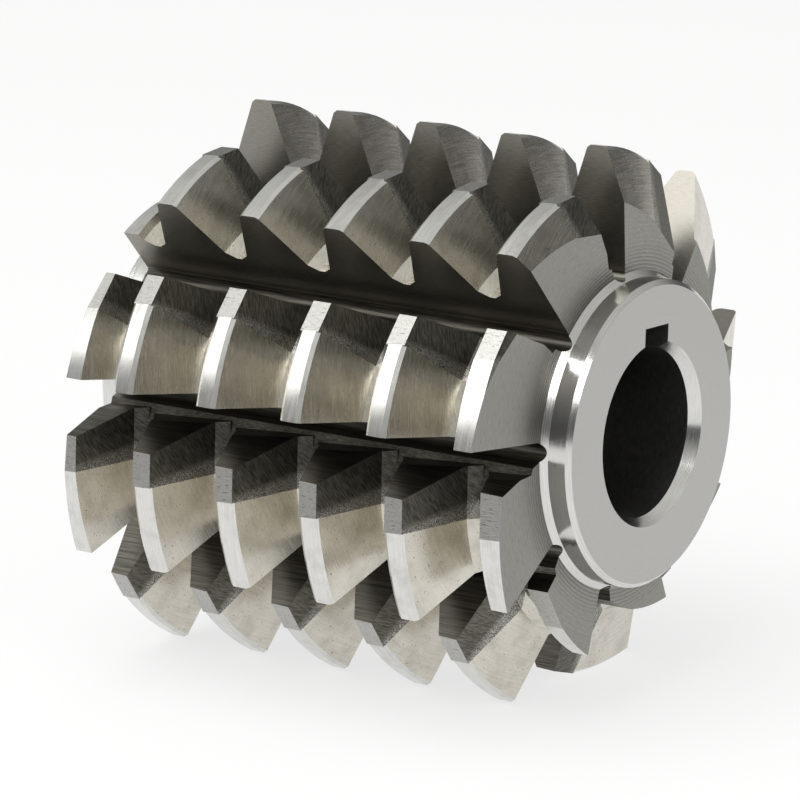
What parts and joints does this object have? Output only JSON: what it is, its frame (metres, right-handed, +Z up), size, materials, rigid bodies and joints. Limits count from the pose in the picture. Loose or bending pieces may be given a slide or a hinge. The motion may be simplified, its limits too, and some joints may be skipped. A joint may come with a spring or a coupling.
{
  "type": "gear hob",
  "caption": "Gear-cutting hob: a relieved worm cut across by straight gashes, with a keyed through bore and a turned hub at each end.",
  "frame": {"origin": "on the axis of the bore, half-way along it", "axes": "+X along the bore axis towards the front hub face, +Z up; the hob lies on its side as on a bench, resting on the cutting edges of two rows of teeth"},
  "size_m": [0.106, 0.1054, 0.1044],
  "materials": {
    "steel": "satin"
  },
  "bodies": {
    "root": {"gear_hob": "steel"}
  },
  "joints": []
}
